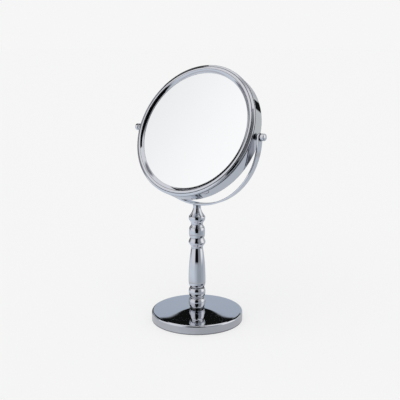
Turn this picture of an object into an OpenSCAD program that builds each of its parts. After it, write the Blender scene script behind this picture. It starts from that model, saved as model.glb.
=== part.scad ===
// Two-sided magnifying table mirror on a turned pedestal.
// A round head with a plain glass and a magnifying glass tilts and turns over
// between the arms of a bent strap, on a weighted round base. The column is a
// stack of turned pieces held by one long rod. Millimetres, +Z up, with the
// origin at the centre of the underside. The pivots lie along X, and the plain
// glass faces -Y, tilted up by head_tilt.

/* [Base] */
// Diameter of the base
base_d = 140; // [110:1:180]
// Height of the side wall, up to where the top starts
base_wall_h = 14.5; // [12:0.5:22]
// How much the cone of the top would rise from its rim to the middle
cone_rise = 1.6; // [0.5:0.1:5]
// How much the top turns down at its rim, above the cone
brim_rise = 0.07; // [0:0.01:0.3]
// Height of the flare that meets the foot of the column
flare_rise = 1.32; // [0.5:0.01:3]
// Distance over which the flare dies out
flare_reach = 13; // [5:0.5:20]
// Rounding of the top rim
rim_round = 2.8; // [1.2:0.1:4]
// Sheet thickness of the base cover
cover_t = 1; // [0.8:0.1:1.5]
// Thickness of the pad under the base
pad_t = 2.5; // [2:0.5:4]
// How far the pad stands below the cover
pad_proud = 0.5; // [0.3:0.1:1]
// Diameter of the pocket for the nut under the weight
pocket_d = 24; // [22:1:32]
// Iron left between the pocket and the top of the weight
weight_web = 5; // [3:0.5:6]

/* [Column] */
// Radius of the plain collar that stands on the base
collar_r = 9.8; // [9:0.1:11]
// Height of that collar
collar_h = 2; // [1:0.1:5]
// Crest radius of the two beads of the foot
foot_bead_r = 12.9; // [12:0.1:15]
// Height of the lower bead of the foot
low_bead_h = 14.7; // [10:0.1:20]
// Height of the upper bead of the foot
high_bead_h = 13.8; // [10:0.1:20]
// Radius of the grooves beside the foot beads
foot_groove_r = 10.4; // [9.5:0.1:11.5]
// Width of the groove between the foot beads
foot_groove_h = 2.7; // [1:0.1:5]
// Width of the plain land at each joint of the column
land_h = 0.7; // [0.3:0.1:1.5]
// Largest radius of the vase
vase_r = 12.95; // [12:0.05:15]
// Height of the round bottom of the vase
vase_round_h = 8.4; // [5:0.1:12]
// Height of the vase above its largest radius
vase_body_h = 53; // [30:1:90]
// Radius of the waist above the vase
waist_r = 9; // [8:0.1:10.5]
// Crest radius of the ring above the waist
ring_bead_r = 12.8; // [12:0.1:15]
// Height of the ring below its crest
ring_low_h = 8; // [5:0.1:12]
// Height of the ring above its crest
ring_high_h = 7.7; // [5:0.1:12]
// Radius of the groove between the ring and the barrel
barrel_groove_r = 10.5; // [9.5:0.1:11.5]
// Largest radius of the barrel
barrel_r = 12.05; // [11.6:0.05:15]
// Height of the barrel
barrel_h = 16; // [10:0.5:24]
// Height of the cove that ends the barrel
cove_h = 3.5; // [2:0.1:6]
// Crest radius of the bell under the yoke
bell_r = 12.4; // [11.5:0.1:15]
// Height of the bell below its crest
bell_low_h = 7.8; // [5:0.1:12]
// Height of the flare from the bell to the neck
bell_flare_h = 12.3; // [8:0.1:20]
// Radius of the plain neck
neck_r = 5.95; // [5:0.05:8]
// Height of the plain neck
neck_h = 5; // [2:0.5:20]

/* [Yoke] */
// Width of the strap
strap_w = 11; // [8:0.5:14]
// Thickness of the strap
strap_t = 2.8; // [2.4:0.1:3.4]
// Rounding of the strap's edges
strap_round = 0.6; // [0.3:0.1:0.9]
// Free space between the drum and the strap
arm_gap = 5.4; // [5:0.1:12]

/* [Head] */
// Radius of the glass that shows inside a bezel
view_r = 89.3; // [60:0.1:120]
// Width of the ring from the glass that shows to the outside of the drum
ring_w = 12; // [11.5:0.1:16]
// Sheet thickness of the drum
drum_t = 1; // [0.8:0.1:1.4]
// Depth of the head from its middle plane to the crest of a bezel
head_half = 13; // [12.6:0.1:16]
// How far the head leans back at rest, in degrees
head_tilt = 26; // [0:1:60]
// Sheet thickness of the bezels
bezel_t = 0.8; // [0.6:0.1:1]
// How far a bezel stands in front of its glass
bezel_proud = 3.8; // [3.2:0.1:4.5]
// Width of the bezel's inner bevel, which rises from the glass
bevel_w = 4.2; // [3.8:0.1:4.4]
// How far the top of the bevel stays behind the crest of the bezel
bevel_back = 0.35; // [0.3:0.05:0.5]
// Depth of the fine groove between the bevel and the crest
groove_depth = 0.3; // [0.1:0.05:0.35]
// Distance of the bezel's crest outside the edge of the glass that shows
crest_at = 6.6; // [6.2:0.1:7]
// Rounding of the crest of a bezel
crest_r = 3; // [2.8:0.1:3.2]
// Rounding of the outer rim of a bezel
rim_soft = 1.8; // [1.7:0.1:2.2]
// Depth of the front bezel's band, from its crest to its seam
front_band_h = 5.2; // [4:0.1:5.5]
// Height of the straight edge of the front band above its seam
front_land = 0.8; // [0.2:0.1:1.5]
// Depth of the rear bezel's band
rear_band_h = 2.6; // [2.4:0.1:3]
// Width of the open groove behind the front bezel
seam_gap = 1.2; // [0.6:0.1:1.5]
// How far the front bezel stands out past the drum
bezel_over = 0.6; // [0.3:0.1:0.8]
// Depth of the skirt that each bezel pushes into the drum
skirt_h = 3; // [2:0.1:4]
// Radius of the rolled ridge on the front edge of the drum
ridge_r = 0.6; // [0.5:0.05:0.8]

/* [Glass] */
// Thickness of both glasses
glass_t = 3; // [2:0.5:3]
// Width of glass hidden behind the bezel
glass_hold = 6; // [3:0.1:6]
// Depth of the magnifying glass's hollow
bowl_depth = 5; // [3:0.1:6]
// Thickness of the foam behind the plain glass
foam_t = 2.4; // [1.5:0.1:2.5]
// Thickness of the backing board
board_t = 2; // [1.5:0.1:2]

/* [Pivots] */
// Diameter of the pivot studs
stud_d = 4; // [3:0.5:5]
// Diameter of the stud's head inside the drum
stud_head_d = 8; // [7:0.5:10]
// Thickness of the stud's head
stud_head_t = 1.4; // [1:0.1:1.6]
// Diameter of the spacer between the drum and the strap
spacer_d = 7.8; // [7:0.1:9]
// Thickness of each friction washer
washer_t = 0.5; // [0.3:0.1:0.8]
// Diameter of the friction washers
washer_d = 7.4; // [7:0.1:9]
// Diameter of the clamping knobs
knob_d = 10.2; // [9:0.1:14]
// Length of the clamping knobs
knob_l = 7.4; // [6.8:0.1:12]
// Rounding of the outer edge of the knobs
knob_round = 1.7; // [1:0.1:2.5]

/* [Fasteners] */
// Diameter of the rod through the column
rod_d = 6; // [5:0.5:7]
// Depth of the rod's end inside the top piece
rod_reach = 12; // [8:0.5:14]
// Width of the base nut across its flats
nut_af = 10; // [9.5:0.5:11]
// Thickness of the base nut
nut_t = 5; // [4:0.1:5]
// Diameter of the base washer
base_washer_d = 18; // [14:0.5:20]
// Thickness of the base washer
base_washer_t = 1.5; // [1:0.1:1.6]
// Diameter of the countersunk screw that holds the yoke
screw_d = 4; // [3:0.5:4.5]
// Diameter of that screw's head
screw_head_d = 7.4; // [7:0.2:8]
// Height of that screw's head
screw_head_h = 1.9; // [1.6:0.1:2.1]
// Length of that screw
screw_l = 16; // [10:0.5:16]

/* [Fits] */
// Gap between a turning shaft and its hole, all round
run_gap = 0.08; // [0.05:0.01:0.1]
// Gap between pieces that slip together
slip_gap = 0.2; // [0.1:0.05:0.25]
// Gap between faces that turn on each other
face_gap = 0.12; // [0.1:0.01:0.2]
// Gap where a flat face seats on a curved one
seat_gap = 0.03; // [0.01:0.01:0.05]

/* [Hidden] */
$fn = 96;
curve_steps = 18;

// Base, from the underside up
base_r = base_d / 2;
brim_r = base_r - rim_round;
seat_r = collar_r + 0.3;
base_top = top_z(seat_r);
weight_r = base_r - cover_t - 2 * slip_gap;
weight_top = base_top - cover_t - slip_gap;
pocket_top = weight_top - weight_web;

// Column joints, from the base up
foot_bottom = base_top + seat_gap;
groove_z = foot_bottom + collar_h + low_bead_h;
foot_top = groove_z + foot_groove_h + high_bead_h + land_h;
vase_crest_z = foot_top + land_h + vase_round_h;
vase_top = vase_crest_z + vase_body_h + land_h;
ring_crest_z = vase_top + land_h + ring_low_h;
barrel_z = ring_crest_z + ring_high_h;
knop_top = barrel_z + barrel_h + cove_h + land_h;
bell_crest_z = knop_top + land_h + bell_low_h;
bell_crest_h = 2;
bell_round_h = 2.2;
bell_round_in = 0.8;
bell_flare_z = bell_crest_z + bell_crest_h + bell_round_h;
column_top = bell_flare_z + bell_flare_h + neck_h;
rod_hole_r = rod_d / 2 + slip_gap;
rod_top = knop_top + rod_reach;

// Yoke and pivots
drum_r = view_r + ring_w;
strap_in = drum_r + arm_gap;
strap_out = strap_in + strap_t;
pivot_z = column_top + seat_gap + strap_out;
stud_r = stud_d / 2;
spacer_x = drum_r + seat_gap;
spacer_end = strap_in - face_gap - washer_t;
knob_washer_x = strap_out + face_gap;
knob_x = knob_washer_x + washer_t + face_gap;
knob_end = knob_x + knob_l;
stud_end = knob_end - knob_l * 0.3;
screw_top = pivot_z - strap_in - seat_gap;

// Head, along its own axis with the front face up
glass_face = head_half - bezel_proud;
glass_back = glass_face - glass_t;
glass_r = view_r + glass_hold;
bowl_r = (glass_r * glass_r + bowl_depth * bowl_depth) / (2 * bowl_depth);
front_seam = head_half - front_band_h;
rear_seam = head_half - rear_band_h;
drum_front = front_seam - seam_gap;
drum_rear = -rear_seam + seat_gap;
bezel_r = drum_r + bezel_over;
skirt_r = drum_r - drum_t - seat_gap;
liner_r = skirt_r - bezel_t - slip_gap - 1;
shelf_r = view_r + 1;
pad_r = shelf_r - slip_gap;
foam_back = glass_back - slip_gap - foam_t;
board_back = foam_back - board_t;
stud_head_x = drum_r - drum_t - stud_head_t - 3 * seat_gap;

// Points of a plain outline as [radius, height], each from its first to its last point
function arc(r, z, a, b, from, to) =
    [for (i = [0 : curve_steps]) let (t = from + (to - from) * i / curve_steps)
        [r + a * cos(t), z + b * sin(t)]];
function bead(z, h, r_low, r_high, crest) =
    [for (i = [0 : curve_steps]) let (t = 180 * i / curve_steps, r = t < 90 ? r_low : r_high)
        [r + (crest - r) * sin(t), z + h / 2 * (1 - cos(t))]];
function s_curve(z, h, r_low, r_high) =
    [for (i = [0 : curve_steps]) let (u = i / curve_steps)
        [r_low + (r_high - r_low) * (1 - cos(180 * u)) / 2, z + h * u]];
function power_fall(z, h, r_low, r_high, p) =
    [for (i = [0 : curve_steps]) let (u = i / curve_steps)
        [r_low + (r_high - r_low) * pow(u, p), z + h * u]];
function power_flare(z, h, r_low, r_high, p) =
    [for (i = [0 : curve_steps]) let (u = i / curve_steps)
        [r_high + (r_low - r_high) * pow(1 - u, p), z + h * u]];
function barrel(z, h, rim, crest, p) =
    [for (i = [0 : curve_steps]) let (u = cos(180 * (1 - i / curve_steps)))
        [rim + (crest - rim) * pow(1 - pow(abs(u), p), 1 / p), z + h / 2 * (1 + u)]];
function bevel(r, z, w, h, from, to) =
    [for (i = [0 : curve_steps]) let (u = from + (to - from) * i / curve_steps)
        [r + w * u, z + h * u * (1.2 - 0.2 * u)]];

// Height of the base's top surface at radius r, outside the seat of the column
function flare_z(r) = flare_rise * exp(-(r - seat_r) / flare_reach);
function top_z(r) =
    base_wall_h + cone_rise * (1 - r / brim_r) + brim_rise * (1 - pow(r / brim_r, 10))
    + flare_z(r) - flare_z(brim_r);
// The top surface lowered by drop, from radius r inwards to the rod's hole
function top_line(r, drop) =
    concat(
        [for (i = [0 : 2 * curve_steps]) let (q = r + (seat_r - r) * i / (2 * curve_steps))
            [q, top_z(q) - drop]],
        [[rod_hole_r, base_top - drop]]);
function reversed(points) = [for (i = [len(points) - 1 : -1 : 0]) points[i]];

// Turned piece with a hole through it
module turned(points, bottom, top, hole_r) {
    rotate_extrude()
        polygon(concat([[hole_r, bottom]], points, [[hole_r, top]]));
}

// A pin or tube along +X from x0 to x1
module along_x(r, x0, x1) {
    translate([x0, 0, 0]) rotate([0, 90, 0]) cylinder(r = r, h = x1 - x0);
}

module tube_x(r, hole, x0, x1) {
    difference() {
        along_x(r, x0, x1);
        along_x(hole, x0 - 1, x1 + 1);
    }
}

// Places a piece that is made about the pivot axis; side is 1 for right, -1 for left
module at_pivot(side) {
    translate([0, 0, pivot_z]) rotate([0, 0, side > 0 ? 0 : 180]) children();
}

// Places a piece that is made about the head's own axis, front face up
module in_head() {
    translate([0, 0, pivot_z]) rotate([90 - head_tilt, 0, 0]) children();
}

// Base

module base_cover() {
    corner_r = base_r - rim_round;
    corner_z = base_wall_h - rim_round;
    outer = concat(
        [[base_r, pad_proud]],
        arc(corner_r, corner_z, rim_round, rim_round, 0, 90),
        top_line(corner_r, 0));
    inner = concat(
        reversed(top_line(corner_r, cover_t)),
        arc(corner_r, corner_z, rim_round - cover_t, rim_round - cover_t, 90, 0),
        [[base_r - cover_t, pad_proud]]);
    color([0.86, 0.87, 0.9]) rotate_extrude($fn = 180) polygon(concat(outer, inner));
}

module base_weight() {
    edge = weight_r - rim_round;
    top = concat(
        [[rod_hole_r, pad_t], [weight_r, pad_t], [weight_r, base_wall_h - cover_t - slip_gap - rim_round]],
        top_line(edge, cover_t + slip_gap));
    color([0.25, 0.25, 0.26]) difference() {
        rotate_extrude($fn = 180) polygon(top);
        translate([0, 0, -1]) cylinder(d = pocket_d, h = pocket_top + 1);
    }
}

module base_pad() {
    color([0.12, 0.12, 0.13]) cylinder(r = weight_r - 1, h = pad_t, $fn = 180);
}

module base_washer() {
    color([0.75, 0.75, 0.77]) translate([0, 0, pocket_top - base_washer_t]) difference() {
        cylinder(d = base_washer_d, h = base_washer_t);
        translate([0, 0, -1]) cylinder(r = rod_hole_r, h = base_washer_t + 2);
    }
}

module base_nut() {
    color([0.75, 0.75, 0.77]) translate([0, 0, pocket_top - base_washer_t - nut_t]) difference() {
        cylinder(d = nut_af / cos(30), h = nut_t, $fn = 6);
        translate([0, 0, -1]) cylinder(d = rod_d + 2 * run_gap, h = nut_t + 2);
    }
}

module tie_rod() {
    rod_bottom = pad_t + 0.5;
    color([0.7, 0.7, 0.72]) translate([0, 0, rod_bottom]) cylinder(d = rod_d, h = rod_top - rod_bottom);
}

// Column

module column_foot() {
    points = concat(
        [[collar_r, foot_bottom]],
        bead(foot_bottom + collar_h, low_bead_h, collar_r, foot_groove_r, foot_bead_r),
        bead(groove_z + foot_groove_h, high_bead_h, foot_groove_r, foot_groove_r, foot_bead_r),
        [[foot_groove_r, foot_top]]);
    color([0.86, 0.87, 0.9]) turned(points, foot_bottom, foot_top, rod_hole_r);
}

module column_vase() {
    points = concat(
        [[foot_groove_r, foot_top]],
        arc(foot_groove_r, vase_crest_z, vase_r - foot_groove_r, vase_round_h, -90, 0),
        power_fall(vase_crest_z, vase_body_h, vase_r, waist_r, 2.2),
        [[waist_r, vase_top]]);
    color([0.86, 0.87, 0.9]) turned(points, foot_top, vase_top, rod_hole_r);
}

module column_knop() {
    points = concat(
        [[waist_r, vase_top]],
        s_curve(vase_top + land_h, ring_low_h, waist_r, ring_bead_r),
        s_curve(ring_crest_z, ring_high_h, ring_bead_r, barrel_groove_r),
        barrel(barrel_z, barrel_h, barrel_groove_r, barrel_r, 2.5),
        s_curve(barrel_z + barrel_h, cove_h, barrel_groove_r, waist_r),
        [[waist_r, knop_top]]);
    color([0.86, 0.87, 0.9]) turned(points, vase_top, knop_top, rod_hole_r);
}

module column_neck() {
    crest_top = bell_crest_z + bell_crest_h;
    points = concat(
        [[waist_r, knop_top]],
        s_curve(knop_top + land_h, bell_low_h, waist_r, bell_r),
        arc(bell_r - bell_round_in, crest_top, bell_round_in, bell_round_h, 0, 90),
        power_flare(bell_flare_z, bell_flare_h, bell_r - bell_round_in, neck_r, 1.6),
        [[neck_r, column_top]]);
    color([0.86, 0.87, 0.9]) difference() {
        rotate_extrude() polygon(concat([[0, knop_top]], points, [[0, column_top]]));
        translate([0, 0, knop_top - 1]) cylinder(d = rod_d + 2 * run_gap, h = rod_reach + 2);
        translate([0, 0, screw_top - screw_l - 1]) cylinder(d = screw_d + 2 * run_gap, h = screw_l + 2);
    }
}

// Yoke

module strap_section() {
    flat_t = strap_t - 2 * strap_round;
    flat_w = strap_w / 2 - strap_round;
    translate([0, -strap_w / 2 + strap_round]) square([strap_t, 2 * flat_w]);
    translate([strap_round, -strap_w / 2]) square([flat_t, strap_w]);
    for (x = [strap_round, strap_t - strap_round], y = [-flat_w, flat_w])
        translate([x, y]) circle(r = strap_round, $fn = 32);
}

module strap_end() {
    flat_t = strap_t - 2 * strap_round;
    flat_r = strap_w / 2 - strap_round;
    rotate([90, 0, 90]) rotate_extrude(angle = 180) {
        square([flat_r, strap_t]);
        translate([0, strap_round]) square([strap_w / 2, flat_t]);
        for (z = [strap_round, strap_t - strap_round])
            translate([flat_r, z]) circle(r = strap_round, $fn = 32);
    }
}

module yoke() {
    color([0.86, 0.87, 0.9]) translate([0, 0, pivot_z]) difference() {
        union() {
            rotate([-90, 0, 0]) rotate_extrude(angle = 180, $fn = 180)
                translate([strap_in, 0]) strap_section();
            translate([strap_in, 0, 0]) strap_end();
            translate([-strap_out, 0, 0]) strap_end();
        }
        along_x(stud_r + run_gap, -strap_out - 1, strap_out + 1);
        translate([0, 0, screw_top - pivot_z]) screw_body(slip_gap, 1);
    }
}

// Countersunk screw with its top at the origin, grown by gap all round and by over above
module screw_body(gap, over) {
    r = screw_d / 2 + gap;
    head_r = screw_head_d / 2 + gap;
    translate([0, 0, -screw_l - gap]) cylinder(r = r, h = screw_l);
    translate([0, 0, -screw_head_h]) cylinder(r1 = r, r2 = head_r, h = screw_head_h);
    if (over > 0) cylinder(r = head_r, h = over);
}

module yoke_screw() {
    slot_w = 1;
    slot_h = 1;
    color([0.75, 0.75, 0.77]) translate([0, 0, screw_top]) difference() {
        screw_body(0, 0);
        for (turn = [0, 90])
            rotate([0, 0, turn]) cube([screw_head_d * 0.6, slot_w, 2 * slot_h], center = true);
    }
}

// Head

module drum() {
    ridge_z = drum_front - ridge_r;
    color([0.86, 0.87, 0.9]) in_head() difference() {
        rotate_extrude($fn = 180) {
            translate([drum_r - drum_t, drum_rear]) square([drum_t, drum_front - drum_rear]);
            translate([bezel_r - ridge_r, ridge_z]) circle(r = ridge_r, $fn = 32);
        }
        along_x(stud_r + run_gap, -drum_r - 1, drum_r + 1);
    }
}

// Outline of a bezel of pressed sheet, of outer radius rim, whose edge meets the drum at
// height seam and starts to curve at land above it
module bezel_outline(rim, seam, land) {
    edge_z = glass_face + seat_gap;
    bevel_edge = 0.25;
    low_z = edge_z + bevel_edge;
    rise = head_half - bevel_back - low_z;
    crest_c = view_r + crest_at;
    crest_z = head_half - crest_r;
    rim_c = rim - rim_soft;
    rim_z = seam + land;
    run = rim_c - crest_c;
    drop = rim_z - crest_z;
    turn = atan2(drop, run) + acos((crest_r - rim_soft) / norm([run, drop]));
    crest_from = 118;
    crest_start = crest_c + crest_r * cos(crest_from);
    groove_r = (view_r + bevel_w + crest_start) / 2;
    groove_z = head_half - bevel_back - groove_depth;
    step_z = seam + bezel_t;
    inner_rim = rim_soft - bezel_t;
    inner_crest = crest_r - bezel_t;
    inner_from = min(turn - 8, asin(min(1, max(0, (step_z - rim_z) / inner_rim))));
    inner_r = view_r + 1.6 * bezel_t;
    outer = concat(
        [[view_r, edge_z]],
        bevel(view_r, low_z, bevel_w, rise, 0, 1),
        [[groove_r, groove_z]],
        arc(crest_c, crest_z, crest_r, crest_r, crest_from, turn),
        arc(rim_c, rim_z, rim_soft, rim_soft, turn, 0),
        [[rim, seam], [skirt_r, seam], [skirt_r, seam - skirt_h]]);
    inner = concat(
        [[skirt_r - bezel_t, seam - skirt_h], [skirt_r - bezel_t, step_z]],
        arc(rim_c, rim_z, inner_rim, inner_rim, inner_from, turn),
        arc(crest_c, crest_z, inner_crest, inner_crest, turn, crest_from),
        bevel(inner_r, low_z, bevel_w, rise, 0.7, 0),
        [[inner_r, edge_z]]);
    polygon(concat(outer, inner));
}

module front_bezel() {
    color([0.88, 0.89, 0.92]) in_head()
        rotate_extrude($fn = 180) bezel_outline(bezel_r, front_seam, front_land);
}

module rear_bezel() {
    color([0.88, 0.89, 0.92]) in_head() rotate([180, 0, 0])
        rotate_extrude($fn = 180) bezel_outline(drum_r, rear_seam, 0);
}

module plain_glass() {
    color([0.93, 0.95, 0.97]) in_head()
        translate([0, 0, glass_back]) cylinder(r = glass_r, h = glass_t, $fn = 180);
}

// Height of the magnifying glass's hollow face above its deepest point, at radius r
function bowl_z(r) = bowl_r - sqrt(bowl_r * bowl_r - r * r);
function bowl_line(r_from, r_to, z) =
    [for (i = [0 : curve_steps]) let (r = r_from + (r_to - r_from) * i / curve_steps)
        [r, z - bowl_z(r)]];
bowl_face = -glass_face + bowl_depth;

module magnifying_glass() {
    outline = concat(bowl_line(0, glass_r, bowl_face + glass_t), bowl_line(glass_r, 0, bowl_face));
    color([0.93, 0.95, 0.97]) in_head() rotate_extrude($fn = 180) polygon(outline);
}

module foam_pad() {
    color([0.2, 0.2, 0.2]) in_head()
        translate([0, 0, foam_back]) cylinder(r = pad_r, h = foam_t);
}

module backing_board() {
    color([0.6, 0.48, 0.34]) in_head()
        translate([0, 0, board_back]) cylinder(r = pad_r, h = board_t);
}

module shaped_pad() {
    outline = concat(
        bowl_line(0, pad_r, bowl_face + glass_t + slip_gap),
        [[pad_r, board_back], [0, board_back]]);
    color([0.2, 0.2, 0.2]) in_head() rotate_extrude() polygon(outline);
}

module liner_ring() {
    shelf_low = bowl_face + glass_t - bowl_z(shelf_r) + slip_gap;
    shelf_high = glass_back - slip_gap;
    sleeve_r = glass_r + slip_gap;
    color([0.9, 0.9, 0.88]) in_head() rotate_extrude($fn = 180) {
        translate([sleeve_r, -glass_face]) square([liner_r - sleeve_r, 2 * glass_face]);
        translate([shelf_r, shelf_low]) square([sleeve_r - shelf_r + 0.5, shelf_high - shelf_low]);
    }
}

// Pivots

module stud(side) {
    color([0.75, 0.75, 0.77]) at_pivot(side) {
        along_x(stud_head_d / 2, stud_head_x, stud_head_x + stud_head_t);
        along_x(stud_r, stud_head_x + stud_head_t, stud_end);
    }
}

module spacer(side) {
    color([0.82, 0.83, 0.86]) at_pivot(side) tube_x(spacer_d / 2, stud_r + run_gap, spacer_x, spacer_end);
}

module inner_washer(side) {
    color([0.2, 0.2, 0.2]) at_pivot(side)
        tube_x(washer_d / 2, stud_r + run_gap, spacer_end, spacer_end + washer_t);
}

module outer_washer(side) {
    color([0.2, 0.2, 0.2]) at_pivot(side)
        tube_x(washer_d / 2, stud_r + run_gap, knob_washer_x, knob_washer_x + washer_t);
}

// Round cap with a narrower collar towards the strap and a slightly domed end
module knob(side) {
    collar_w = 1;
    collar_in = 0.8;
    edge = 0.4;
    crown = 0.5;
    r = knob_d / 2;
    outline = concat(
        [[0, 0], [r - collar_in, 0], [r - collar_in, collar_w], [r - edge, collar_w], [r, collar_w + edge]],
        arc(r - knob_round, knob_l - crown - knob_round, knob_round, knob_round, 0, 80),
        [[0, knob_l]]);
    color([0.86, 0.87, 0.9]) at_pivot(side) difference() {
        translate([knob_x, 0, 0]) rotate([0, 90, 0]) rotate_extrude() polygon(outline);
        along_x(stud_r + run_gap, knob_x - 1, stud_end + face_gap);
    }
}

module left_stud() { stud(-1); }
module right_stud() { stud(1); }
module left_spacer() { spacer(-1); }
module right_spacer() { spacer(1); }
module left_inner_washer() { inner_washer(-1); }
module right_inner_washer() { inner_washer(1); }
module left_outer_washer() { outer_washer(-1); }
module right_outer_washer() { outer_washer(1); }
module left_knob() { knob(-1); }
module right_knob() { knob(1); }

base_cover();
base_weight();
base_pad();
base_washer();
base_nut();
tie_rod();
column_foot();
column_vase();
column_knop();
column_neck();
yoke();
yoke_screw();
drum();
front_bezel();
rear_bezel();
plain_glass();
magnifying_glass();
foam_pad();
backing_board();
shaped_pad();
liner_ring();
left_stud();
right_stud();
left_spacer();
right_spacer();
left_inner_washer();
right_inner_washer();
left_outer_washer();
right_outer_washer();
left_knob();
right_knob();
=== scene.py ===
"""Looks of the two-sided magnifying table mirror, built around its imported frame.

The turned, pressed and ground pieces of bright metal and glass are made here as smooth lathe
work on the outlines of the part's source. The rest is the frame's own pieces with finishes.
Blender works in metres; the outlines below are in millimetres, as on a maker's drawing.
"""

import math

import bmesh
import bpy
from mathutils import Matrix, Vector


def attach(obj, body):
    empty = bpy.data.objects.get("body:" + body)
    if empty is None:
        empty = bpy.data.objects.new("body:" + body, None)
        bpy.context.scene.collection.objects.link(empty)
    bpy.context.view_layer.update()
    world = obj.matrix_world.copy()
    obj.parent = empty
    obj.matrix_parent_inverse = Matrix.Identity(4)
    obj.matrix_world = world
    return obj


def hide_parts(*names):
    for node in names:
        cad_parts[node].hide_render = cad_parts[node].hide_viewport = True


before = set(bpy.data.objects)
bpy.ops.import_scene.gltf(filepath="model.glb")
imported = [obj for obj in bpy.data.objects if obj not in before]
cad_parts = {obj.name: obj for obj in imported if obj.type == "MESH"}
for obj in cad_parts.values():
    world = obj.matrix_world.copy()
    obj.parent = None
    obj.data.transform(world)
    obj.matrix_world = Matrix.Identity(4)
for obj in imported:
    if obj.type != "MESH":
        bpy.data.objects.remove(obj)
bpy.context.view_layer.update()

MM = 0.001


# Camera: where the photographer stood, in millimetres and radians. The lens and the sensor's width
# are millimetres of the camera, and its reach is in metres.

CAMERA_DISTANCE = 1057.07
CAMERA_HEIGHT = 412.72
CAMERA_ROUND = math.radians(36.513)
CAMERA_YAW = math.radians(0.24)
CAMERA_DOWN = math.radians(12.035)
CAMERA_LENS = 64.796
CAMERA_SENSOR = 36
CAMERA_REACH = (0.01, 1000)


def stand_camera():
    """Puts the camera where the photograph was taken and makes it the scene's camera."""
    turn = Matrix.Rotation(CAMERA_ROUND, 3, "Z")
    level = math.cos(CAMERA_DOWN)
    forward = turn @ Vector((math.sin(CAMERA_YAW) * level, math.cos(CAMERA_YAW) * level,
                             -math.sin(CAMERA_DOWN)))
    right = turn @ Vector((math.cos(CAMERA_YAW), -math.sin(CAMERA_YAW), 0))
    up = right.cross(forward)
    data = bpy.data.cameras.new("camera")
    data.sensor_width = CAMERA_SENSOR
    data.lens = CAMERA_LENS
    data.clip_start, data.clip_end = CAMERA_REACH
    camera = bpy.data.objects.new("camera", data)
    bpy.context.scene.collection.objects.link(camera)
    place = Matrix((right, up, -forward)).transposed().to_4x4()
    place.translation = turn @ Vector((0, -CAMERA_DISTANCE, CAMERA_HEIGHT)) * MM
    camera.matrix_world = place
    bpy.context.scene.camera = camera


stand_camera()


# Sizes of the outlines, in millimetres and in the part's source's terms. The bezels' section and
# the front seam are a little finer here than in the source.

BASE_R = 70
BASE_WALL_H = 14.5
CONE_RISE = 1.6
BRIM_RISE = 0.07
BRIM_POWER = 10
FLARE_RISE = 1.32
FLARE_REACH = 13
RIM_ROUND = 2.8
COVER_T = 1
PAD_PROUD = 0.5
ROD_HOLE_R = 3.2

COLLAR_R = 9.8
COLLAR_H = 2
SEAT_SPARE = 0.3
FOOT_BEAD_R = 12.9
LOW_BEAD_H = 14.7
HIGH_BEAD_H = 13.8
FOOT_GROOVE_R = 10.4
FOOT_GROOVE_H = 2.7
LAND_H = 0.7
VASE_R = 12.95
VASE_ROUND_H = 8.4
VASE_BODY_H = 53
VASE_POWER = 2.2
WAIST_R = 9
RING_BEAD_R = 12.8
RING_LOW_H = 8
RING_HIGH_H = 7.7
BARREL_GROOVE_R = 10.5
BARREL_R = 12.05
BARREL_H = 16
BARREL_POWER = 2.5
COVE_H = 3.5
BELL_R = 12.4
BELL_LOW_H = 7.8
BELL_CREST_H = 2
BELL_ROUND_H = 2.2
BELL_ROUND_IN = 0.8
BELL_FLARE_H = 12.3
BELL_POWER = 1.6
NECK_R = 5.95
NECK_H = 5

VIEW_R = 89.3
RING_W = 12
DRUM_R = VIEW_R + RING_W
HEAD_HALF = 13
HEAD_TILT = 26
BEZEL_T = 0.7
LIP_W = 0.9
LIP_H = 0.6
LIP_TURN = 110
BEVEL_W = 4
BEVEL_BACK = 0.2
BEVEL_BULGE = 0.2
GROOVE_DEPTH = 0.3
CREST_AT = 6.6
CREST_R = 4.5
CREST_TURN = 105
RIM_SOFT = 1.8
LINE_AT = 9.1
LINE_W = 0.9
LINE_DEPTH = 0.55
DRUM_T = 1
SEAM_GAP = 1.3
RIDGE_R = 0.6
GLASS_FACE = 9.2
GLASS_T = 3
GLASS_R = 95.3
BOWL_DEPTH = 5
FRONT_BAND_H = 3.8
REAR_BAND_H = 2.6
FRONT_SEAM = HEAD_HALF - FRONT_BAND_H
REAR_SEAM = HEAD_HALF - REAR_BAND_H
FRONT_PROUD = 0.4
FRONT_LAND = 0.3
SKIRT_R = 100.2
SKIRT_H = 3

ARM_GAP = 5.4
STRAP_T = 2.8
STRAP_OUT = DRUM_R + ARM_GAP + STRAP_T
STUD_HOLE_R = 2.08
SCREW_HOLE_R = 2.08
ROD_BORE_R = 3.08
ROD_REACH = 12
SCREW_L = 16
BORE_SPARE = 1
KNOB_R = 5.1
KNOB_L = 7.4
KNOB_ROUND = 1.7
KNOB_BORE_SHARE = 0.7
FACE_GAP = 0.12
SEAT_GAP = 0.03
WASHER_T = 0.5

STEPS = 48


# Outlines: lists of (radius, height), with angles in degrees

def arc(r, z, wide, high, start, end):
    """A quarter, half or other stretch of an ellipse about (r, z)."""
    angles = [math.radians(start + (end - start) * i / STEPS) for i in range(STEPS + 1)]
    return [(r + wide * math.cos(a), z + high * math.sin(a)) for a in angles]


def bead(z, high, r_low, r_high, crest):
    """A half-round bead between two grooves."""
    points = []
    for i in range(STEPS + 1):
        a = math.pi * i / STEPS
        r = r_low if a < math.pi / 2 else r_high
        points.append((r + (crest - r) * math.sin(a), z + high / 2 * (1 - math.cos(a))))
    return points


def ogee(z, high, r_low, r_high):
    """An S curve from one radius to another."""
    return [(r_low + (r_high - r_low) * (1 - math.cos(math.pi * i / STEPS)) / 2, z + high * i / STEPS)
            for i in range(STEPS + 1)]


def taper(z, high, r_low, r_high, power):
    """A long taper that starts upright."""
    return [(r_low + (r_high - r_low) * (i / STEPS) ** power, z + high * i / STEPS)
            for i in range(STEPS + 1)]


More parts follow.
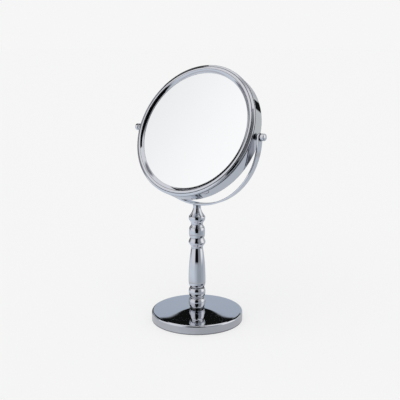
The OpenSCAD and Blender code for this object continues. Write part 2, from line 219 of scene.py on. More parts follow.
def flare(z, high, r_low, r_high, power):
    """A taper that ends upright."""
    return [(r_high + (r_low - r_high) * (1 - i / STEPS) ** power, z + high * i / STEPS)
            for i in range(STEPS + 1)]


def barrel(z, high, rim, crest, power):
    """A full, flat-sided swelling."""
    points = []
    for i in range(STEPS + 1):
        u = math.cos(math.pi * (1 - i / STEPS))
        swell = max(0.0, 1 - abs(u) ** power) ** (1 / power)
        points.append((rim + (crest - rim) * swell, z + high / 2 * (1 + u)))
    return points


SEAT_R = COLLAR_R + SEAT_SPARE
BRIM_R = BASE_R - RIM_ROUND


def base_flare(r):
    """Rise of the flare towards the foot."""
    return FLARE_RISE * math.exp(-(r - SEAT_R) / FLARE_REACH)


def base_height(r):
    """Height of the base's top surface at a radius."""
    cone = CONE_RISE * (1 - r / BRIM_R)
    brim = BRIM_RISE * (1 - (r / BRIM_R) ** BRIM_POWER)
    return BASE_WALL_H + cone + brim + base_flare(r) - base_flare(BRIM_R)


BASE_TOP = base_height(SEAT_R)
FOOT_BOTTOM = BASE_TOP + SEAT_GAP
GROOVE_Z = FOOT_BOTTOM + COLLAR_H + LOW_BEAD_H
FOOT_TOP = GROOVE_Z + FOOT_GROOVE_H + HIGH_BEAD_H + LAND_H
VASE_CREST_Z = FOOT_TOP + LAND_H + VASE_ROUND_H
VASE_TOP = VASE_CREST_Z + VASE_BODY_H + LAND_H
RING_CREST_Z = VASE_TOP + LAND_H + RING_LOW_H
BARREL_Z = RING_CREST_Z + RING_HIGH_H
KNOP_TOP = BARREL_Z + BARREL_H + COVE_H + LAND_H
BELL_CREST_Z = KNOP_TOP + LAND_H + BELL_LOW_H
BELL_FLARE_Z = BELL_CREST_Z + BELL_CREST_H + BELL_ROUND_H
COLUMN_TOP = BELL_FLARE_Z + BELL_FLARE_H + NECK_H
PIVOT_Z = COLUMN_TOP + SEAT_GAP + STRAP_OUT
SCREW_TOP = PIVOT_Z - (DRUM_R + ARM_GAP) - SEAT_GAP


def base_cover_outline():
    """The pressed cover of the base: its outside from the foot of the wall to the rod, and back inside."""
    top = [BRIM_R + (SEAT_R - BRIM_R) * i / (2 * STEPS) for i in range(2 * STEPS + 1)]
    corner_z = BASE_WALL_H - RIM_ROUND
    outside = [(BASE_R, PAD_PROUD)] + arc(BRIM_R, corner_z, RIM_ROUND, RIM_ROUND, 0, 90)
    outside += [(r, base_height(r)) for r in top[1:]] + [(ROD_HOLE_R, BASE_TOP)]
    inside = [(ROD_HOLE_R, BASE_TOP - COVER_T)] + [(r, base_height(r) - COVER_T) for r in reversed(top)]
    inner_round = RIM_ROUND - COVER_T
    inside += arc(BRIM_R, corner_z, inner_round, inner_round, 90, 0)[1:] + [(BASE_R - COVER_T, PAD_PROUD)]
    return outside + inside


def foot_outline():
    """The column's foot: a collar and two beads with a groove between them."""
    return ([(ROD_HOLE_R, FOOT_BOTTOM), (COLLAR_R, FOOT_BOTTOM)]
            + bead(FOOT_BOTTOM + COLLAR_H, LOW_BEAD_H, COLLAR_R, FOOT_GROOVE_R, FOOT_BEAD_R)
            + bead(GROOVE_Z + FOOT_GROOVE_H, HIGH_BEAD_H, FOOT_GROOVE_R, FOOT_GROOVE_R, FOOT_BEAD_R)
            + [(FOOT_GROOVE_R, FOOT_TOP), (ROD_HOLE_R, FOOT_TOP)])


def vase_outline():
    """The vase: round below, with a long taper up to its waist."""
    return ([(ROD_HOLE_R, FOOT_TOP), (FOOT_GROOVE_R, FOOT_TOP)]
            + arc(FOOT_GROOVE_R, VASE_CREST_Z, VASE_R - FOOT_GROOVE_R, VASE_ROUND_H, -90, 0)
            + taper(VASE_CREST_Z, VASE_BODY_H, VASE_R, WAIST_R, VASE_POWER)[1:]
            + [(WAIST_R, VASE_TOP), (ROD_HOLE_R, VASE_TOP)])


def knop_outline():
    """The ring bead and the barrel above it."""
    return ([(ROD_HOLE_R, VASE_TOP), (WAIST_R, VASE_TOP)]
            + ogee(VASE_TOP + LAND_H, RING_LOW_H, WAIST_R, RING_BEAD_R)
            + ogee(RING_CREST_Z, RING_HIGH_H, RING_BEAD_R, BARREL_GROOVE_R)[1:]
            + barrel(BARREL_Z, BARREL_H, BARREL_GROOVE_R, BARREL_R, BARREL_POWER)[1:]
            + ogee(BARREL_Z + BARREL_H, COVE_H, BARREL_GROOVE_R, WAIST_R)[1:]
            + [(WAIST_R, KNOP_TOP), (ROD_HOLE_R, KNOP_TOP)])


def neck_outline():
    """The bell and the neck, with the rod's bore below and the yoke screw's above."""
    crest_top = BELL_CREST_Z + BELL_CREST_H
    screw_bottom = SCREW_TOP - SCREW_L - BORE_SPARE
    rod_end = KNOP_TOP + ROD_REACH + BORE_SPARE
    return ([(ROD_BORE_R, KNOP_TOP), (WAIST_R, KNOP_TOP)]
            + ogee(KNOP_TOP + LAND_H, BELL_LOW_H, WAIST_R, BELL_R)
            + arc(BELL_R - BELL_ROUND_IN, crest_top, BELL_ROUND_IN, BELL_ROUND_H, 0, 90)
            + flare(BELL_FLARE_Z, BELL_FLARE_H, BELL_R - BELL_ROUND_IN, NECK_R, BELL_POWER)[1:]
            + [(NECK_R, COLUMN_TOP), (SCREW_HOLE_R, COLUMN_TOP), (SCREW_HOLE_R, screw_bottom),
               (0, screw_bottom), (0, rod_end), (ROD_BORE_R, rod_end)])


def bevel(r, z, wide, high, start, end):
    """A slightly bulging slope, or the stretch of it between two shares of its width."""
    shares = [start + (end - start) * i / STEPS for i in range(STEPS + 1)]
    return [(r + wide * u, z + high * u * (1 + BEVEL_BULGE - BEVEL_BULGE * u)) for u in shares]


def bezel_outline(rim, seam, land):
    """A bezel pressed from sheet: the rolled lip at the glass, the bevel, a fine groove, the crest,
    the outer slope with a fine line rolled into it, the rounded rim and the skirt in the drum."""
    edge_z = GLASS_FACE + SEAT_GAP
    low_r, low_z = VIEW_R + LIP_W, edge_z + LIP_H
    rise = HEAD_HALF - BEVEL_BACK - low_z
    crest_c, crest_z = VIEW_R + CREST_AT, HEAD_HALF - CREST_R
    rim_c, rim_z = rim - RIM_SOFT, seam + land
    run, drop = rim_c - crest_c, rim_z - crest_z
    turn = math.degrees(math.atan2(drop, run) + math.acos((CREST_R - RIM_SOFT) / math.hypot(run, drop)))
    crest = arc(crest_c, crest_z, CREST_R, CREST_R, CREST_TURN, turn)
    groove = ((low_r + BEVEL_W + crest[0][0]) / 2, HEAD_HALF - BEVEL_BACK - GROOVE_DEPTH)
    along = Vector((math.sin(math.radians(turn)), -math.cos(math.radians(turn))))
    line_mid = Vector(crest[-1]) + along * (VIEW_R + LINE_AT - crest[-1][0]) / along.x
    line_end = along * LINE_W / 2
    line_bed = along * LINE_W / 4 - Vector((-along.y, along.x)) * LINE_DEPTH
    line = [line_mid - line_end, line_mid + line_bed - line_end, line_mid + line_bed, line_mid + line_end]
    inner_rim = RIM_SOFT - BEZEL_T
    inner_crest = CREST_R - BEZEL_T
    inner_r = VIEW_R + 1.6 * BEZEL_T
    inner_step = 0.5
    inner_share = 0.6
    outside = (arc(low_r, edge_z, LIP_W, LIP_H, 180, LIP_TURN)
               + bevel(low_r, low_z, BEVEL_W, rise, 0, 1) + [groove]
               + crest + [tuple(point) for point in line]
               + arc(rim_c, rim_z, RIM_SOFT, RIM_SOFT, turn, 0)
               + [(rim, seam), (SKIRT_R, seam), (SKIRT_R, seam - SKIRT_H)])
    inside = ([(SKIRT_R - BEZEL_T, seam - SKIRT_H), (SKIRT_R - BEZEL_T, rim_z + inner_rim)]
              + arc(crest_c, crest_z, inner_crest, inner_crest, turn, CREST_TURN)
              + bevel(inner_r + inner_step, low_z, BEVEL_W, rise, inner_share, 0) + [(inner_r, edge_z)])
    return outside + inside


def drum_outline():
    """The sheet drum, with the ridge rolled on its front edge."""
    front = FRONT_SEAM - SEAM_GAP
    rear = SEAT_GAP - REAR_SEAM
    return ([(DRUM_R - DRUM_T, rear), (DRUM_R, rear), (DRUM_R, front - 2 * RIDGE_R)]
            + arc(DRUM_R, front - RIDGE_R, RIDGE_R, RIDGE_R, -80, 90) + [(DRUM_R - DRUM_T, front)])


def hollow_glass_outline():
    """The magnifying glass: both faces are parts of balls, and the front one is hollow."""
    ball_r = (GLASS_R ** 2 + BOWL_DEPTH ** 2) / (2 * BOWL_DEPTH)
    face = BOWL_DEPTH - GLASS_FACE
    radii = [GLASS_R * i / (2 * STEPS) for i in range(2 * STEPS + 1)]
    hollow = [(r, face - (ball_r - math.sqrt(ball_r ** 2 - r ** 2))) for r in radii]
    return [(r, z + GLASS_T) for r, z in hollow] + list(reversed(hollow))


def knob_outline():
    """A clamping knob, from the collar against the washer to the low crown of its end."""
    collar_w = 1
    collar_in = 0.8
    edge = 0.4
    crown = 0.5
    hole_end = KNOB_L * KNOB_BORE_SHARE + FACE_GAP
    return ([(STUD_HOLE_R, 0), (KNOB_R - collar_in, 0), (KNOB_R - collar_in, collar_w),
             (KNOB_R - edge, collar_w), (KNOB_R, collar_w + edge)]
            + arc(KNOB_R - KNOB_ROUND, KNOB_L - crown - KNOB_ROUND, KNOB_ROUND, KNOB_ROUND, 0, 80)
            + [(0, KNOB_L), (0, hole_end), (STUD_HOLE_R, hole_end)])


# Lathe work. Bends sharper than SHARP_BEND degrees are rounded, by no more than CORNER_SHARE of the
# run beside them. Runs longer than LONG_RUN are held flat by points that stand HOLD from their ends.

SHARP_BEND = 14
CORNER_SHARE = 0.4
LONG_RUN = 1.5
HOLD = 0.12


def soften_corners(outline, cut):
    """Rounds each sharp corner of a closed outline by about cut. Points close to both ends of each
    long straight run keep its shading flat."""
    count = len(outline)
    rounded = []
    for i in range(count):
        here = Vector(outline[i])
        to_last = Vector(outline[i - 1]) - here
        to_next = Vector(outline[(i + 1) % count]) - here
        if to_last.length < 1e-6:
            continue
        bend = math.degrees(math.pi - to_last.angle(to_next, math.pi))
        if bend < SHARP_BEND or here.x < 1e-6:
            rounded.append(tuple(here))
            continue
        before = to_last.normalized() * min(cut, to_last.length * CORNER_SHARE)
        after = to_next.normalized() * min(cut, to_next.length * CORNER_SHARE)
        for t in (0, 0.25, 0.5, 0.75, 1):
            rounded.append(tuple(here + before * (1 - t) ** 2 + after * t ** 2))
    held = []
    for i, point in enumerate(rounded):
        here, there = Vector(point), Vector(rounded[(i + 1) % len(rounded)])
        held.append(tuple(here))
        if (there - here).length > LONG_RUN:
            step = (there - here).normalized() * HOLD
            held += [tuple(here + step), tuple(there - step)]
    return held


def turn_on_lathe(name, outline, sides, place, cut=0.15):
    """Turns a closed outline about the Z axis into a smooth solid and moves it to its place."""
    points = soften_corners(outline, cut)
    mesh = bmesh.new()
    rings = []
    for r, z in points:
        count = 1 if r < 1e-6 else sides
        angles = [2 * math.pi * k / sides for k in range(count)]
        rings.append([mesh.verts.new((r * MM * math.cos(a), r * MM * math.sin(a), z * MM))
                      for a in angles])
    for i, low in enumerate(rings):
        high = rings[(i + 1) % len(rings)]
        for k in range(sides):
            corners = [low[k % len(low)], low[(k + 1) % len(low)],
                       high[(k + 1) % len(high)], high[k % len(high)]]
            corners = list(dict.fromkeys(corners))
            if len(corners) > 2:
                mesh.faces.new(corners)
    bmesh.ops.recalc_face_normals(mesh, faces=mesh.faces)
    data = bpy.data.meshes.new(name)
    mesh.to_mesh(data)
    mesh.free()
    data.shade_smooth()
    data.transform(place)
    piece = bpy.data.objects.new(name, data)
    bpy.context.scene.collection.objects.link(piece)
    return piece


UPRIGHT = Matrix.Identity(4)
HEAD_PLACE = (Matrix.Translation(Vector((0, 0, PIVOT_Z * MM)))
              @ Matrix.Rotation(math.radians(90 - HEAD_TILT), 4, "X"))
HEAD_BACK_PLACE = HEAD_PLACE @ Matrix.Rotation(math.pi, 4, "X")
KNOB_X = STRAP_OUT + FACE_GAP + WASHER_T + FACE_GAP


def knob_place(side):
    """Where a knob sits on its stud; side is 1 for the right one and -1 for the left one."""
    return (Matrix.Translation(Vector((side * KNOB_X * MM, 0, PIVOT_Z * MM)))
            @ Matrix.Rotation(side * math.pi / 2, 4, "Y"))


# Finishes

def from_hex(colour):
    """Linear colour of an sRGB hex value."""
    parts = [int(colour[i:i + 2], 16) / 255 for i in (1, 3, 5)]
    return [c / 12.92 if c <= 0.04045 else ((c + 0.055) / 1.055) ** 2.4 for c in parts] + [1.0]


def add(tree, kind, inputs, **settings):
    """Adds a shader node with its settings, and sets or links its inputs; gives its outputs."""
    node = tree.nodes.new("ShaderNode" + kind)
    for name, value in settings.items():
        setattr(node, name, value)
    for socket, value in inputs.items():
        if isinstance(value, bpy.types.NodeSocket):
            tree.links.new(value, node.inputs[socket])
        else:
            node.inputs[socket].default_value = value
    return node.outputs


def new_finish(name):
    """An empty material and its node tree."""
    material = bpy.data.materials.new(name)
    material.use_nodes = True
    material.node_tree.nodes.clear()
    return material, material.node_tree


def close_finish(tree, shader):
    """Sends the finished shader to the material's surface."""
    add(tree, "OutputMaterial", {"Surface": shader})


def bright_chrome(name, place, painted_shade_reach_mm=3):
    """Bright chromium plate over buffed brass or steel: a cool, nearly clear mirror.

    The buffing leaves hairlines round the piece's own axis, drawn coarser than real so that they
    show as a faint streak in close views. Patches of polishing haze, 9 mm across, soften the
    reflections here and there, and 5 mm ripples of the buffed metal make their edges waver. Painted
    shade darkens the colour almost to black in the seams, grooves and recesses where other metal
    stands near; the reach in millimetres says how near that metal stands.
    """
    material, tree = new_finish(name)
    spot = add(tree, "TexCoord", {})["Object"]
    turned = add(tree, "Mapping", {"Vector": spot, "Location": place.to_translation(),
                                   "Rotation": place.to_euler()}, vector_type="TEXTURE")[0]
    flat = add(tree, "SeparateXYZ", {"Vector": turned})
    across = add(tree, "CombineXYZ", {"X": flat["X"], "Y": flat["Y"]})[0]
    radius = add(tree, "VectorMath", {0: across}, operation="LENGTH")["Value"]
    around = add(tree, "Math", {0: flat["Y"], 1: flat["X"]}, operation="ARCTAN2")[0]
    slow = add(tree, "Math", {0: around, 1: 0.004}, operation="MULTIPLY")[0]
    line_spot = add(tree, "CombineXYZ", {"X": radius, "Y": flat["Z"], "Z": slow})[0]
    lines = add(tree, "TexNoise", {"Vector": line_spot, "Scale": 1 / (0.35 * MM), "Detail": 1.0})[0]
    haze = add(tree, "TexNoise", {"Vector": turned, "Scale": 1 / (9 * MM), "Detail": 3.0})[0]
    ripple = add(tree, "TexNoise", {"Vector": turned, "Scale": 1 / (5 * MM), "Detail": 0.0})[0]
    roughness = add(tree, "MapRange", {"Value": haze, "From Min": 0.3, "From Max": 0.7,
                                       "To Min": 0.012, "To Max": 0.045})[0]
    colour = add(tree, "Mix", {0: haze, 6: from_hex("#D4D5DA"), 7: from_hex("#CFD1D7")}, data_type="RGBA")[2]
    waves = add(tree, "Bump", {"Height": ripple, "Strength": 1.0, "Distance": 0.0008 * MM})[0]
    hairlines = add(tree, "Bump", {"Height": lines, "Strength": 1.0, "Distance": 0.0002 * MM,
                                   "Normal": waves})[0]
    # Painted shade: ambient occlusion within the reach mixes the colour towards near-black in seams and
    # recesses.
    open_air = add(tree, "AmbientOcclusion", {"Distance": painted_shade_reach_mm * MM}, samples=8)["AO"]
    unshaded_share = add(tree, "MapRange", {"Value": open_air, "From Min": 0.6, "From Max": 0.93})[0]
    colour = add(tree, "Mix", {0: unshaded_share, 6: from_hex("#1C1D1F"), 7: colour}, data_type="RGBA")[2]
    shader = add(tree, "BsdfPrincipled", {"Base Color": colour, "Metallic": 1.0, "Roughness": roughness,
                                          "Normal": hairlines})[0]
    close_finish(tree, shader)
    return material


def silvered_glass():
    """Float glass silvered on its back: a clear, bright mirror with a trace of green in its depth.

    The coat is the polished front face of the glass over the silver. A faint wiping haze keeps the
    reflection from looking computed.
    """
    material, tree = new_finish("silvered_glass")
    spot = add(tree, "TexCoord", {})["Object"]
    wipe = add(tree, "Mapping", {"Vector": spot, "Scale": (1.0, 1.0, 0.35), "Rotation": (0.3, 0.5, 0.4)})[0]
    haze = add(tree, "TexNoise", {"Vector": wipe, "Scale": 1 / (30 * MM), "Detail": 4.0})[0]
    roughness = add(tree, "MapRange", {"Value": haze, "From Min": 0.35, "From Max": 0.75,
                                       "To Min": 0.004, "To Max": 0.022})[0]
    colour = add(tree, "Mix", {0: haze, 6: from_hex("#F6F8F9"), 7: from_hex("#F3F6F7")}, data_type="RGBA")[2]
    shader = add(tree, "BsdfPrincipled", {"Base Color": colour, "Metallic": 1.0, "Roughness": roughness,
                                          "Coat Weight": 1.0, "Coat Roughness": 0.0, "Coat IOR": 1.52})[0]
    close_finish(tree, shader)
    return material


def zinc_plated_steel():
    """Bright zinc plate on steel fasteners: greyer and duller than chrome, with a mottled bloom."""
    material, tree = new_finish("zinc_plated_steel")
    spot = add(tree, "TexCoord", {})["Object"]
    bloom = add(tree, "TexNoise", {"Vector": spot, "Scale": 1 / (2.5 * MM), "Detail": 4.0})[0]
    colour = add(tree, "Mix", {0: bloom, 6: from_hex("#B4B8BE"), 7: from_hex("#9DA3A9")}, data_type="RGBA")[2]
    roughness = add(tree, "MapRange", {"Value": bloom, "To Min": 0.2, "To Max": 0.42})[0]
    grain = add(tree, "TexNoise", {"Vector": spot, "Scale": 1 / (0.25 * MM), "Detail": 2.0})[0]
    bump = add(tree, "Bump", {"Height": grain, "Strength": 0.4, "Distance": 0.01 * MM})[0]
    shader = add(tree, "BsdfPrincipled", {"Base Color": colour, "Metallic": 1.0, "Roughness": roughness,
                                          "Normal": bump})[0]
    close_finish(tree, shader)
    return material


def sand_cast_iron():
    """Grey iron as it leaves the sand mould: dark, dull and pebbled by the grit, with a little rust bloom."""
    material, tree = new_finish("sand_cast_iron")
    spot = add(tree, "TexCoord", {})["Object"]
    grit = add(tree, "TexNoise", {"Vector": spot, "Scale": 1 / (0.8 * MM), "Detail": 5.0})[0]
    patch = add(tree, "TexNoise", {"Vector": spot, "Scale": 1 / (14 * MM), "Detail": 3.0})[0]
    rust = add(tree, "MapRange", {"Value": patch, "From Min": 0.58, "From Max": 0.75})[0]
    colour = add(tree, "Mix", {0: rust, 6: from_hex("#4B4A4A"), 7: from_hex("#5E4A3C")}, data_type="RGBA")[2]
    bump = add(tree, "Bump", {"Height": grit, "Strength": 0.8, "Distance": 0.15 * MM})[0]
    shader = add(tree, "BsdfPrincipled", {"Base Color": colour, "Metallic": 0.7, "Roughness": 0.62,
                                          "Normal": bump})[0]
    close_finish(tree, shader)
    return material


def cellular_foam(name, dark, light, cell_mm):
    """Closed-cell foam sheet: matt, with the fine pits of its cut cells."""
    material, tree = new_finish(name)
    spot = add(tree, "TexCoord", {})["Object"]
    cells = add(tree, "TexVoronoi", {"Vector": spot, "Scale": 1 / (cell_mm * MM)})["Distance"]
    mottle = add(tree, "TexNoise", {"Vector": spot, "Scale": 1 / (6 * MM), "Detail": 3.0})[0]
    colour = add(tree, "Mix", {0: mottle, 6: from_hex(dark), 7: from_hex(light)}, data_type="RGBA")[2]
    bump = add(tree, "Bump", {"Height": cells, "Strength": 0.7, "Distance": 0.12 * MM})[0]
    shader = add(tree, "BsdfPrincipled", {"Base Color": colour, "Roughness": 0.88, "IOR": 1.45,
                                          "Normal": bump})[0]
    close_finish(tree, shader)
    return material


def pressed_hardboard():
    """Pressed wood-fibre board: brown, smooth, with fibres a few millimetres long lying every way."""
    material, tree = new_finish("pressed_hardboard")
    spot = add(tree, "TexCoord", {})["Object"]
    fibres = add(tree, "TexNoise", {"Vector": spot, "Scale": 1 / (1.6 * MM), "Detail": 6.0,
                                    "Distortion": 1.6})[0]
    colour = add(tree, "Mix", {0: fibres, 6: from_hex("#6B4A30"), 7: from_hex("#8E6B49")},
                 data_type="RGBA")[2]
    bump = add(tree, "Bump", {"Height": fibres, "Strength": 0.3, "Distance": 0.05 * MM})[0]
    shader = add(tree, "BsdfPrincipled", {"Base Color": colour, "Roughness": 0.6, "IOR": 1.5,
                                          "Normal": bump})[0]
    close_finish(tree, shader)
    return material


def moulded_plastic(name, base, shade, rough):
    """Injection-moulded plastic: an even colour with the mould's fine spark-eroded texture."""
    material, tree = new_finish(name)
    spot = add(tree, "TexCoord", {})["Object"]
    texture = add(tree, "TexNoise", {"Vector": spot, "Scale": 1 / (0.5 * MM), "Detail": 3.0})[0]
    cloud = add(tree, "TexNoise", {"Vector": spot, "Scale": 1 / (20 * MM), "Detail": 2.0})[0]
    colour = add(tree, "Mix", {0: cloud, 6: from_hex(base), 7: from_hex(shade)}, data_type="RGBA")[2]
    bump = add(tree, "Bump", {"Height": texture, "Strength": 0.3, "Distance": 0.03 * MM})[0]
    shader = add(tree, "BsdfPrincipled", {"Base Color": colour, "Roughness": rough, "IOR": 1.5,
                                          "Normal": bump})[0]
    close_finish(tree, shader)
    return material


STRAP_PLACE = (Matrix.Translation(Vector((0, 0, PIVOT_Z * MM))) @ Matrix.Rotation(math.pi / 2, 4, "X"))
PIVOT_PLACE = (Matrix.Translation(Vector((0, 0, PIVOT_Z * MM))) @ Matrix.Rotation(math.pi / 2, 4, "Y"))

stand_chrome = bright_chrome("bright_chrome_turned", UPRIGHT)
head_chrome = bright_chrome("bright_chrome_head", HEAD_PLACE)
strap_chrome = bright_chrome("bright_chrome_strap", STRAP_PLACE)
# The knobs' and spacers' metal takes painted shade from farther off, 7 mm, so they come out darker.
pivot_chrome = bright_chrome("bright_chrome_knob", PIVOT_PLACE, painted_shade_reach_mm=7)
mirror = silvered_glass()
zinc = zinc_plated_steel()
iron = sand_cast_iron()
sole_foam = cellular_foam("black_sole_foam", "#17171A", "#232326", 0.9)
packing_foam = cellular_foam("grey_packing_foam", "#3A3B3E", "#4A4B4E", 1.2)
hardboard = pressed_hardboard()
liner = moulded_plastic("white_liner_plastic", "#E6E5DF", "#DEDDD6", 0.45)
nylon = moulded_plastic("black_nylon", "#1E1E20", "#28282B", 0.38)

FRAME_FINISHES = {
    "base_weight": iron, "base_pad": sole_foam, "base_washer": zinc, "base_nut": zinc, "tie_rod": zinc,
    "yoke": strap_chrome, "yoke_screw": zinc, "plain_glass": mirror,
    "foam_pad": packing_foam, "backing_board": hardboard, "shaped_pad": packing_foam, "liner_ring": liner,
    "left_stud": zinc, "right_stud": zinc, "left_spacer": pivot_chrome, "right_spacer": pivot_chrome,
    "left_inner_washer": nylon, "right_inner_washer": nylon,
    "left_outer_washer": nylon, "right_outer_washer": nylon,
}
for node, finish in FRAME_FINISHES.items():
    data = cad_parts[node].data
    data.materials.clear()
    data.materials.append(finish)

# Name of the frame's node, outline, sides round, place, body, finish, slot
LATHE_WORK = [
    ("base_cover", base_cover_outline(), 256, UPRIGHT, "stand", stand_chrome, "chrome"),
    ("column_foot", foot_outline(), 128, UPRIGHT, "stand", stand_chrome, "chrome"),
    ("column_vase", vase_outline(), 128, UPRIGHT, "stand", stand_chrome, "chrome"),
    ("column_knop", knop_outline(), 128, UPRIGHT, "stand", stand_chrome, "chrome"),
    ("column_neck", neck_outline(), 128, UPRIGHT, "stand", stand_chrome, "chrome"),
    ("drum", drum_outline(), 288, HEAD_PLACE, "head", head_chrome, "chrome"),
    ("front_bezel", bezel_outline(DRUM_R + FRONT_PROUD, FRONT_SEAM, FRONT_LAND), 288, HEAD_PLACE,
     "head", head_chrome, "chrome"),
    ("rear_bezel", bezel_outline(DRUM_R, REAR_SEAM, 0), 288, HEAD_BACK_PLACE, "head", head_chrome, "chrome"),
    ("magnifying_glass", hollow_glass_outline(), 192, HEAD_PLACE, "head", mirror, "mirror_glass"),
    ("left_knob", knob_outline(), 96, knob_place(-1), "left_knob", pivot_chrome, "chrome"),
    ("right_knob", knob_outline(), 96, knob_place(1), "right_knob", pivot_chrome, "chrome"),
]
for node, outline, sides, place, body, finish, slot in LATHE_WORK:
    piece = turn_on_lathe(node + "_smooth", outline, sides, place)
    piece.data.materials.append(finish)
    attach(piece, body)
    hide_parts(node)


# Studio. The floor's half side is in metres.

FLOOR_HALF = 120
PAPER_GLOW = 0.7
ROOM_LIGHT = 0.78
LAMP_ENERGY = 0.80
LAMP_SPREAD = math.radians(70)
LAMP_TURN = (math.radians(28), math.radians(-12), CAMERA_ROUND)


def white_floor():
    """Seamless white paper under the mirror. It shows in the picture and holds the shadow, and a
    share of it glows so that the paper stays as pale as the backdrop. The metal sees the studio's
    own floor cards in its place."""
    mesh = bmesh.new()
    bmesh.ops.create_grid(mesh, x_segments=2, y_segments=2, size=FLOOR_HALF)
    data = bpy.data.meshes.new("paper_floor")
    mesh.to_mesh(data)
    mesh.free()
    floor = bpy.data.objects.new("paper_floor", data)
    bpy.context.scene.collection.objects.link(floor)
    material, tree = new_finish("white_paper")
    spot = add(tree, "TexCoord", {})["Object"]
    tooth = add(tree, "TexNoise", {"Vector": spot, "Scale": 1 / (1.5 * MM), "Detail": 2.0})[0]
    colour = add(tree, "Mix", {0: tooth, 6: from_hex("#F6F6F6"), 7: from_hex("#F5F5F5")},
                 data_type="RGBA")[2]
    lit = add(tree, "BsdfDiffuse", {"Color": colour})[0]
    shown = add(tree, "Emission", {"Color": colour})[0]
    seen = add(tree, "LightPath", {})["Is Camera Ray"]
    share = add(tree, "Math", {0: seen, 1: PAPER_GLOW}, operation="MULTIPLY")[0]
    close_finish(tree, add(tree, "MixShader", {0: share, 1: lit, 2: shown})[0])
    floor.data.materials.append(material)
    floor.visible_glossy = False


# Curved cards that stand near the mirror, so that its head and its foot see them at different
# heights: from and to in bearing (degrees, 0 at the camera and growing to the picture's right),
# distance from the mirror's axis, bottom and top above the floor in millimetres, and brightness at
# the bottom and at the top. Only the metal sees them.
NEAR_TINT = "#EEF1F8"
NEAR_STEPS = 24
NEAR_CARDS = [
    (-25, 10, 337, 56, 125, 0.006, 0.006),
    (9.4, 40, 164, 262, 410, 0.17, 0.17),
    (9.4, 40, 164, 410, 500, 0.17, 0.58),
    (7, 18, 337, 56, 250, 0.006, 0.006),
]


def near_card(number, from_bearing, to_bearing, distance, low, high, dim, bright):
    """Bends one card round the mirror's axis and lights it from dim at the bottom to bright on top."""
    mesh = bmesh.new()
    from_camera = Matrix.Rotation(CAMERA_ROUND, 3, "Z")
    edges = []
    for i in range(NEAR_STEPS + 1):
        bearing = math.radians(from_bearing + (to_bearing - from_bearing) * i / NEAR_STEPS)
        spot = from_camera @ Vector((math.sin(bearing), -math.cos(bearing), 0)) * distance
        edges.append([mesh.verts.new((spot.x * MM, spot.y * MM, z * MM)) for z in (low, high)])
    for here, there in zip(edges, edges[1:]):
        mesh.faces.new((here[0], there[0], there[1], here[1]))
    name = "near_card_%d" % number
    data = bpy.data.meshes.new(name)
    mesh.to_mesh(data)
    mesh.free()
    card = bpy.data.objects.new(name, data)
    bpy.context.scene.collection.objects.link(card)
    material, tree = new_finish(name)
    height = add(tree, "SeparateXYZ", {"Vector": add(tree, "TexCoord", {})["Object"]})["Z"]
    strength = add(tree, "MapRange", {"Value": height, "From Min": low * MM, "From Max": high * MM,
                                      "To Min": dim, "To Max": bright})[0]
    close_finish(tree, add(tree, "Emission", {"Color": from_hex(NEAR_TINT), "Strength": strength})[0])
    card.data.materials.append(material)
    card.visible_camera = False
    card.visible_diffuse = False
    card.visible_transmission = False
    card.visible_shadow = False


# What the metal sees, as far cards in the studio: from and to in bearing, from and to in elevation,
# softness of the edge (all degrees, bearings as above), then brightness and tint. A later card
# stands in front of an earlier one.
ROOM = (0.62, "#F2F4F8")
CARDS = [
    # the floor
    (-181, 181, -91, -8, 5, 0.60, "#E8F0FA"),
    (98, 200, -91, -8, 8, 0.72, "#ECF2FA"),
    (4, 60, -91, -8, 16, 0.50, "#E6F0FA"),
    (-160, -6, -91, -8, 16, 0.72, "#E8F1FB"),
    (-160, -24, -91, -8, 16, 0.86, "#E8F1FB"),
    (-160, -42, -91, -8, 16, 0.97, "#E8F1FB"),
    (-181, 181, -23, -19.2, 4, 0.57, "#F4F4F8"),
    (-160, -50, -23, -19.2, 10, 0.70, "#F4F4F8"),
    (54, 99, -64, -25, 6, 0.06, "#F4F4F8"),
    # the ceiling
    (-181, 181, 46, 91, 8, 1.00, "#F8F8FA"),
    (-181, 181, 80, 91, 8, 0.30, "#F0F2FA"),
    # the wall behind the mirror, which its base shows
    (150, 210, 11, 23.2, 0.6, 0.64, "#E3EFFF"),
    # the left side, with a window
    (-152, -108, -10, 12, 4, 0.30, "#F0F2FA"),
    (-172, -150, -19, 23.4, 4, 0.16, "#F0F2FA"),
    (-108, -36, -10, 34, 8, 0.98, "#F6F7FB"),
    (-122, -60, 24, 48, 3, 0.88, "#FDFCFD"),
    (-84, -60, 24, 48, 14, 1.04, "#FEFDFD"),
    # the right side, with a window
    (8, 24, -8, 40, 8, 0.30, "#EEF1F8"),
    (24, 54, -8, 44, 6, 0.42, "#EEF1F8"),
    (54, 64, -8, 44, 8, 0.60, "#EEF1F8"),
    (64, 108, -8, 40, 8, 1.16, "#FFFFFF"),
    (108, 150, -8, 23.4, 8, 0.74, "#F2F6F5"),
    # a small flag, the dark cloth above the wall behind, and the photographer's dark corner
    (134, 146, 7, 14.5, 2, 0.01, "#F4F5FA"),
    (116, 259, 23.2, 51, 0.6, 0.008, "#E6F4EE"),
    (-29, 10, -7, 60, 3, 0.004, "#EEF1F8"),
]


def glow(bright, tint):
    """Linear colour of a card."""
    return [c * bright for c in from_hex(tint)[:3]] + [1.0]


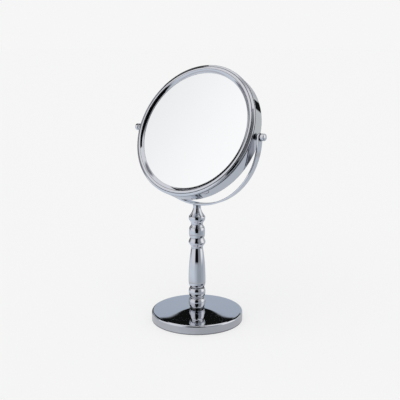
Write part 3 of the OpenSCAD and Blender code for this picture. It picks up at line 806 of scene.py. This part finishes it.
def studio_world():
    """A plain white room for the picture and the soft light, and the studio's cards for the metal."""
    world = bpy.data.worlds.new("studio")
    bpy.context.scene.world = world
    world.use_nodes = True
    tree = world.node_tree
    tree.nodes.clear()
    look = add(tree, "TexCoord", {})["Generated"]
    cos, sin = math.cos(CAMERA_ROUND), math.sin(CAMERA_ROUND)
    right = add(tree, "VectorMath", {0: look, 1: (cos, sin, 0)}, operation="DOT_PRODUCT")["Value"]
    near = add(tree, "VectorMath", {0: look, 1: (sin, -cos, 0)}, operation="DOT_PRODUCT")["Value"]
    up = add(tree, "SeparateXYZ", {0: look})["Z"]
    bearing = add(tree, "Math", {0: right, 1: near}, operation="ARCTAN2")[0]
    bearing = add(tree, "Math", {0: bearing}, operation="DEGREES")[0]
    rise = add(tree, "Math", {0: up}, operation="ARCSINE")[0]
    rise = add(tree, "Math", {0: rise}, operation="DEGREES")[0]
    seen = glow(*ROOM)
    for left_edge, right_edge, low, high, soft, bright, tint in CARDS:
        middle, half, fade = (left_edge + right_edge) / 2, (right_edge - left_edge) / 2, soft / 2
        off = add(tree, "Math", {0: bearing, 1: middle}, operation="SUBTRACT")[0]
        off = add(tree, "Math", {0: off, 1: 180.0, 2: -180.0}, operation="WRAP")[0]
        off = add(tree, "Math", {0: off}, operation="ABSOLUTE")[0]
        mask = add(tree, "MapRange", {"Value": off, "From Min": half - fade, "From Max": half + fade,
                                      "To Min": 1.0, "To Max": 0.0}, interpolation_type="SMOOTHSTEP")[0]
        over = add(tree, "MapRange", {"Value": rise, "From Min": low - fade, "From Max": low + fade},
                   interpolation_type="SMOOTHSTEP")[0]
        under = add(tree, "MapRange", {"Value": rise, "From Min": high - fade, "From Max": high + fade,
                                       "To Min": 1.0, "To Max": 0.0}, interpolation_type="SMOOTHSTEP")[0]
        mask = add(tree, "Math", {0: mask, 1: over}, operation="MULTIPLY")[0]
        mask = add(tree, "Math", {0: mask, 1: under}, operation="MULTIPLY")[0]
        seen = add(tree, "Mix", {0: mask, 6: seen, 7: glow(bright, tint)}, data_type="RGBA")[2]
    path = add(tree, "LightPath", {})
    shown = add(tree, "Math", {0: path["Is Camera Ray"], 1: path["Is Transmission Ray"]},
                operation="MAXIMUM")[0]
    plain = add(tree, "Background", {"Color": from_hex("#FFFFFF"), "Strength": ROOM_LIGHT})[0]
    paper = add(tree, "Background", {"Color": from_hex("#F6F6F6"), "Strength": 1.0})[0]
    cards = add(tree, "Background", {"Color": seen, "Strength": 1.0})[0]
    light = add(tree, "MixShader", {0: shown, 1: plain, 2: paper})[0]
    light = add(tree, "MixShader", {0: path["Is Glossy Ray"], 1: light, 2: cards})[0]
    add(tree, "OutputWorld", {"Surface": light})


def soft_sun():
    """One broad lamp from above and behind the camera's left, for the floor's soft shadow."""
    data = bpy.data.lights.new("broad_lamp", "SUN")
    data.energy = LAMP_ENERGY
    data.angle = LAMP_SPREAD
    lamp = bpy.data.objects.new("broad_lamp", data)
    bpy.context.scene.collection.objects.link(lamp)
    lamp.rotation_euler = LAMP_TURN
    lamp.visible_glossy = False


white_floor()
for number, card in enumerate(NEAR_CARDS, 1):
    near_card(number, *card)
studio_world()
soft_sun()
bpy.context.scene.view_settings.view_transform = "Standard"
